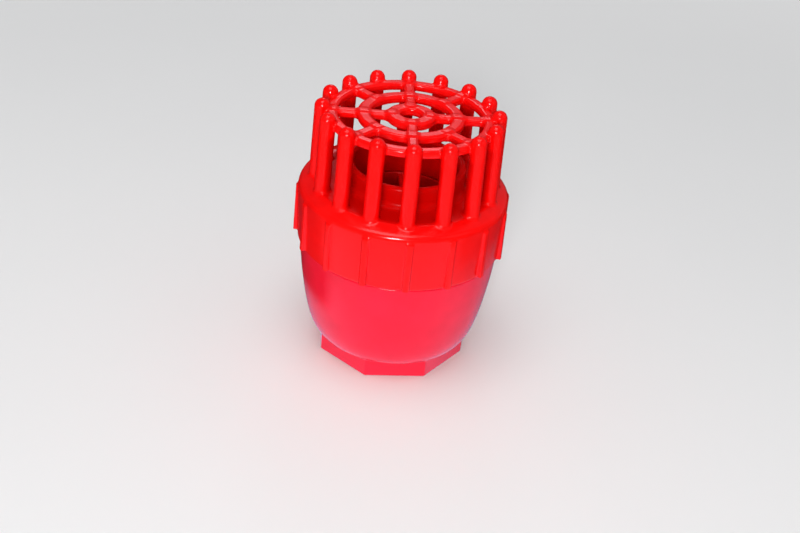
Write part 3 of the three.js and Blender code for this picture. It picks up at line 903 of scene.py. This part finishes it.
# ------------------------------------------------------------------ piece materials
# mask of the painted shade inside the strainer basket
def inside_shade_share(tree, place, radius, height):
    """1 inside a radius (metres) and below a height, 0 elsewhere, with soft edges."""
    split = node(tree, "SeparateXYZ", Vector=place)
    flat = node(tree, "CombineXYZ", X=split.outputs["X"], Y=split.outputs["Y"])
    length = node(tree, "VectorMath", operation="LENGTH", Vector=flat.outputs["Vector"])
    edge = (radius - 0.0008, radius + 0.0008)
    near = remap(tree, length.outputs["Value"], start=edge, to=(1.0, 0.0))
    under = remap(tree, split.outputs["Z"], start=(height - 0.0015, height), to=(1.0, 0.0))
    return calc(tree, "MULTIPLY", near, under)


def red_plastic(name, deep, bright, roughness, seed, specular, coat, tint, inside_shade=None):
    """Glossy moulding. inside_shade is (radius, height, colour) of painted shade inside the basket: a
    deeper colour there, with lower specular and no coat.
    """
    material, tree, shader = new_material(name)
    place = place_in(tree)
    moved = node(tree, "Mapping", Vector=place, Location=(seed, seed * 0.37, seed * 1.7))
    moved = moved.outputs["Vector"]
    # slow drift of pigment through the moulding
    drift = noise(tree, moved, scale=42.0, detail=3.0, roughness=0.55)
    flow = noise(tree, moved, scale=180.0, detail=3.0)
    pigment = mix_value(tree, 0.35, drift, flow)
    color = ramp(tree, pigment, (0.36, deep), (0.64, bright))
    # painted glow: edges and crests that bend outward are made paler and brighter in the base colour,
    # standing in for light let through thin plastic
    bend = node(tree, "Attribute", attribute_name="bend").outputs["Fac"]
    edge = remap(tree, bend, start=(0.5, 3.0), to=(0.0, 0.14))
    pale = (min(1, bright[0] * 1.1), bright[1] * 1.9, bright[2] * 1.6, 1)
    color = mix_color(tree, edge, color, pale)
    feed(shader, Specular_IOR_Level=specular, Coat_Weight=coat)
    # painted shade: inside the basket the base colour is deepened, and specular and coat are turned
    # down
    if inside_shade:
        radius, height, inside_shade_color = inside_shade
        share = inside_shade_share(tree, place, radius, height)
        color = mix_color(tree, share, color, (*inside_shade_color, 1))
        feed(
            shader,
            Specular_IOR_Level=remap(tree, share, to=(specular, 0.05)),
            Coat_Weight=remap(tree, share, to=(coat, 0.0)),
        )
    # gloss that varies with handling marks
    smear = noise(tree, moved, scale=70.0, detail=3.0)
    # orange peel of the mould face, and a finer grain
    peel = noise(tree, place, scale=520.0, detail=2.0)
    grain = noise(tree, place, scale=2600.0, detail=2.0)
    normal = bump(tree, peel, strength=0.22, distance=0.00005)
    normal = bump(tree, grain, strength=0.12, distance=0.00001, Normal=normal)
    feed(
        shader,
        Base_Color=color,
        Roughness=remap(tree, smear, start=(0.3, 0.7), to=roughness),
        Normal=normal,
        IOR=1.49,
        Specular_Tint=(*tint, 1),
        Subsurface_Weight=0.15,
        Subsurface_Radius=(0.0022, 0.0003, 0.0002),
        Subsurface_Scale=1.0,
        Coat_Roughness=0.12,
    )
    return material


def rubber(name):
    material, tree, shader = new_material(name)
    place = place_in(tree)
    blotch = noise(tree, place, scale=120.0, detail=4.0, roughness=0.6)
    grain = noise(tree, place, scale=1500.0, detail=2.0)
    feed(
        shader,
        Base_Color=ramp(tree, blotch, (0.0, (0.010, 0.010, 0.011)), (1.0, (0.034, 0.033, 0.034))),
        Roughness=remap(tree, blotch, to=(0.48, 0.78)),
        Normal=bump(tree, grain, strength=0.3, distance=0.00004),
    )
    return material


def steel(name, ring_scale, tint):
    """Stainless steel with fine tool rings round +Z."""
    material, tree, shader = new_material(name)
    place = place_in(tree)
    split = node(tree, "SeparateXYZ", Vector=place)
    squares = [calc(tree, "MULTIPLY", split.outputs[q], split.outputs[q]) for q in "XY"]
    radius = calc(tree, "SQRT", calc(tree, "ADD", *squares))
    profile = node(tree, "CombineXYZ", X=radius, Z=split.outputs["Z"])
    rings = noise(tree, profile.outputs["Vector"], scale=ring_scale, detail=2.0)
    blotch = noise(tree, place, scale=160.0, detail=4.0, roughness=0.6)
    dark = [channel * 0.78 for channel in tint]
    feed(
        shader,
        Base_Color=ramp(tree, blotch, (0.3, dark), (0.7, tint)),
        Metallic=1.0,
        Roughness=remap(tree, blotch, to=(0.2, 0.44)),
        Normal=bump(tree, rings, strength=0.25, distance=0.00002),
    )
    return material


def give(piece, material):
    piece.data.materials.clear()
    piece.data.materials.append(material)


slot_materials = {
    "strainer_plastic": red_plastic(
        "red_strainer", deep=(0.82, 0.0010, 0.0010), bright=(0.95, 0.0022, 0.0018),
        roughness=(0.15, 0.24), seed=0.0, specular=0.30, coat=0.16, tint=(1, 0.75, 0.85),
        # painted shade inside the basket: within 25.2 mm of the axis and below 72.2 mm
        inside_shade=(0.0252, 0.0722, (0.60, 0.0012, 0.0008)),
    ),
    "body_plastic": red_plastic(
        "red_body", deep=(0.82, 0.0060, 0.0240), bright=(0.95, 0.0095, 0.0350),
        roughness=(0.12, 0.19), seed=3.1, specular=0.32, coat=0.10, tint=(1, 0.75, 0.9),
    ),
    "insert_plastic": red_plastic(
        "red_insert", deep=(0.70, 0.0012, 0.0010), bright=(0.84, 0.0022, 0.0018),
        roughness=(0.30, 0.44), seed=7.7, specular=0.30, coat=0.0, tint=(1, 0.8, 0.85),
    ),
    "nitrile_rubber": rubber("black_rubber"),
    "stainless": steel("turned_stainless", ring_scale=5200.0, tint=(0.66, 0.655, 0.64)),
    "spring_steel": steel("spring_wire", ring_scale=2400.0, tint=(0.60, 0.60, 0.59)),
}
for slot_name, slot_material in slot_materials.items():
    for slot_piece in pieces_in_slot[slot_name]:
        give(slot_piece, slot_material)

# ------------------------------------------------------------------ floor
# Brightness of the floor in reflections, as (bearing, brightness) stops in three rings.
# Each ring fades in over its (start, end) distance from the axis, in metres.
RIGHT_SIDE = ((0.64, 0.95), (0.72, 0.6), (0.86, 0.2), (1.0, 0.1))
INNER_RING = (
    (0.0, 0.08), (0.139, 0.17), (0.200, 0.42), (0.222, 0.55), (0.333, 1.0), *RIGHT_SIDE,
)
OUTER_RINGS = (
    ((0.040, 0.047), ((0.0, 0.03), (0.285, 0.04), (0.330, 0.9), (0.350, 1.0), *RIGHT_SIDE)),
    ((0.075, 0.092), (
        (0.0, 0.03), (0.262, 0.04), (0.295, 0.8), (0.333, 1.0), (0.63, 0.95), (0.67, 0.12),
        (0.80, 0.06), (1.0, 0.03),
    )),
)
# tint of the reflected floor from near to far
FALL_OFF = (
    (0.0, (0.72, 0.76, 1.12)), (0.25, (0.72, 0.76, 1.10)), (0.5, (0.58, 0.50, 0.62)),
    (1.0, (0.34, 0.28, 0.24)),
)
BACKDROP = (0.80, 0.805, 0.81)
BACKDROP_STRENGTH = 0.97


def grey_ramp(tree, factor, stops):
    return ramp(tree, factor, *((position, (v, v, v)) for position, v in stops))


def floor_material():
    """Pale sheet; in reflections a cool white sweep in front that falls off to the left."""
    material, tree, shader = new_material("pale_floor")
    place = place_in(tree)
    tone = noise(tree, place, scale=6.0, detail=3.0)
    color = ramp(tree, tone, (0.0, (0.80, 0.803, 0.806)), (1.0, (0.84, 0.842, 0.844)))
    feed(shader, Base_Color=color, Roughness=0.6, Specular_IOR_Level=0.2)

    direction = bearing(tree, place)[0]
    length = node(tree, "VectorMath", operation="LENGTH", Vector=place)
    distance = length.outputs["Value"]
    glow = grey_ramp(tree, direction, INNER_RING)
    for fade_in, stops in OUTER_RINGS:
        ring = grey_ramp(tree, direction, stops)
        glow = mix_color(tree, remap(tree, distance, start=fade_in), glow, ring)
    fall = ramp(tree, remap(tree, distance, start=(0.05, 0.17)), *FALL_OFF)
    glow = mix_color(tree, 1.0, glow, fall, blend="MULTIPLY")
    reflected = node(tree, "Emission", Color=glow, Strength=1.0).outputs["Emission"]
    rays = node(tree, "LightPath").outputs
    surface = mix_shader(tree, rays["Is Glossy Ray"], shader.outputs["BSDF"], reflected)

    # far from the object the camera sees the sheet fade into the backdrop
    far = remap(tree, distance, start=(0.16, 0.75))
    seen = calc(tree, "MULTIPLY", far, rays["Is Camera Ray"])
    backdrop = node(tree, "Emission", Color=(*BACKDROP, 1), Strength=BACKDROP_STRENGTH)
    surface = mix_shader(tree, seen, surface, backdrop.outputs["Emission"])
    feed(tree.nodes["Material Output"], Surface=surface)
    return material


def floor_disc():
    sides, radius = 96, 6.0 / MM
    rim = [(radius * math.cos(a), radius * math.sin(a), 0) for a in turn(sides)]
    faces = [(0, 1 + i, 1 + (i + 1) % sides) for i in range(sides)]
    floor = mesh_object("studio_floor", [(0, 0, 0)] + rim, faces)
    floor.location.z = -0.00002  # just under the pipe end
    return floor


studio_floor = floor_disc()
give(studio_floor, floor_material())

# ------------------------------------------------------------------ world and view
scene = bpy.context.scene
scene.view_settings.view_transform = "Standard"
scene.view_settings.look = "None"
scene.view_settings.exposure = 0.0
scene.view_settings.gamma = 1.0

# dim room seen in reflections, as (bearing, colour) stops
ROOM = (
    (0.0, (0.12, 0.12, 0.13)), (0.10, (0.04, 0.04, 0.04)), (0.22, (0.03, 0.03, 0.03)),
    (0.27, (0.05, 0.05, 0.05)), (0.75, (0.05, 0.05, 0.05)), (0.85, (0.18, 0.18, 0.2)),
    (1.0, (0.12, 0.12, 0.13)),
)


def studio_world():
    """Pale sky: soft as light, dim in reflections and bright to the camera."""
    world = bpy.data.worlds.new("studio")
    scene.world = world
    world.use_nodes = True
    tree = world.node_tree
    direction, split = bearing(tree, node(tree, "TexCoord").outputs["Generated"])
    sky = ramp(tree, split.outputs["Z"], (0.0, BACKDROP), (0.8, (0.93, 0.935, 0.94)))
    soft = tree.nodes["Background"]
    feed(soft, Color=sky, Strength=0.44)
    dim = node(tree, "Background", Color=ramp(tree, direction, *ROOM), Strength=1.0)
    pale = node(tree, "Background", Color=sky, Strength=BACKDROP_STRENGTH)
    soft, dim, pale = (shader.outputs["Background"] for shader in (soft, dim, pale))
    rays = node(tree, "LightPath").outputs
    surface = mix_shader(tree, rays["Is Glossy Ray"], soft, dim)
    surface = mix_shader(tree, rays["Is Camera Ray"], surface, pale)
    feed(tree.nodes["World Output"], Surface=surface)


studio_world()

# ------------------------------------------------------------------ lights
LIGHT_TARGET = (0, 0, 0.045)


def area(name, azimuth, elevation, distance, size, power, color=(1, 1, 1)):
    """Area light facing the target; angles in degrees, lengths in metres, power in watts."""
    azimuth, elevation = math.radians(azimuth), math.radians(elevation)
    location = (
        distance * math.sin(azimuth) * math.cos(elevation),
        -distance * math.cos(azimuth) * math.cos(elevation),
        LIGHT_TARGET[2] + distance * math.sin(elevation),
    )
    data = bpy.data.lights.new(name, "AREA")
    data.shape = "RECTANGLE"
    data.size, data.size_y = size
    data.energy = power
    data.color = color
    light = bpy.data.objects.new(name, data)
    scene.collection.objects.link(light)
    light.location = location
    aim = Vector(LIGHT_TARGET) - Vector(location)
    light.rotation_euler = aim.to_track_quat("-Z", "Y").to_euler()


area("key_front", azimuth=-9, elevation=22, distance=0.85, size=(0.16, 0.14), power=4.5)
area("top", azimuth=-30, elevation=78, distance=0.80, size=(0.5, 0.5), power=2.5)
area("fill_right", azimuth=62, elevation=35, distance=0.85, size=(0.4, 0.4), power=0.15)
area(
    "back_soft", azimuth=178, elevation=33, distance=0.80, size=(0.16, 0.12), power=0.2,
    color=(1.0, 0.92, 1.0),
)


# ------------------------------------------------------------------ camera
def add_camera(target, azimuth, elevation, distance, yaw, pitch, roll, lens):
    """Camera on a sphere round the target, then turned off it by yaw, pitch and roll (radians)."""
    back = Vector((
        math.sin(azimuth) * math.cos(elevation),
        -math.cos(azimuth) * math.cos(elevation),
        math.sin(elevation),
    ))
    right = Vector((math.cos(azimuth), math.sin(azimuth), 0))
    up = back.cross(right)
    forward = (
        (-back) * math.cos(pitch) * math.cos(yaw)
        + right * math.sin(yaw) * math.cos(pitch)
        + up * math.sin(pitch)
    )
    forward.normalize()
    level_right = forward.cross(up).normalized()
    level_up = level_right.cross(forward)
    camera_right = level_right * math.cos(roll) + level_up * math.sin(roll)
    camera_up = -level_right * math.sin(roll) + level_up * math.cos(roll)
    pose = Matrix((camera_right, camera_up, -forward)).transposed().to_4x4()
    pose.translation = Vector(target) + back * distance

    data = bpy.data.cameras.new("camera")
    data.sensor_fit = "HORIZONTAL"
    data.sensor_width = 36.0
    data.lens = lens
    data.clip_start = 0.01
    data.clip_end = 50
    camera = bpy.data.objects.new("camera", data)
    scene.collection.objects.link(camera)
    camera.matrix_world = pose
    scene.camera = camera


add_camera(
    target=(0, 0, 0.0391), azimuth=math.radians(-4.11), elevation=math.radians(30.71),
    distance=0.300, yaw=math.radians(0.24), pitch=math.radians(-2.23), roll=math.radians(5.85),
    lens=45.7065,
)

bpy.context.view_layer.update()
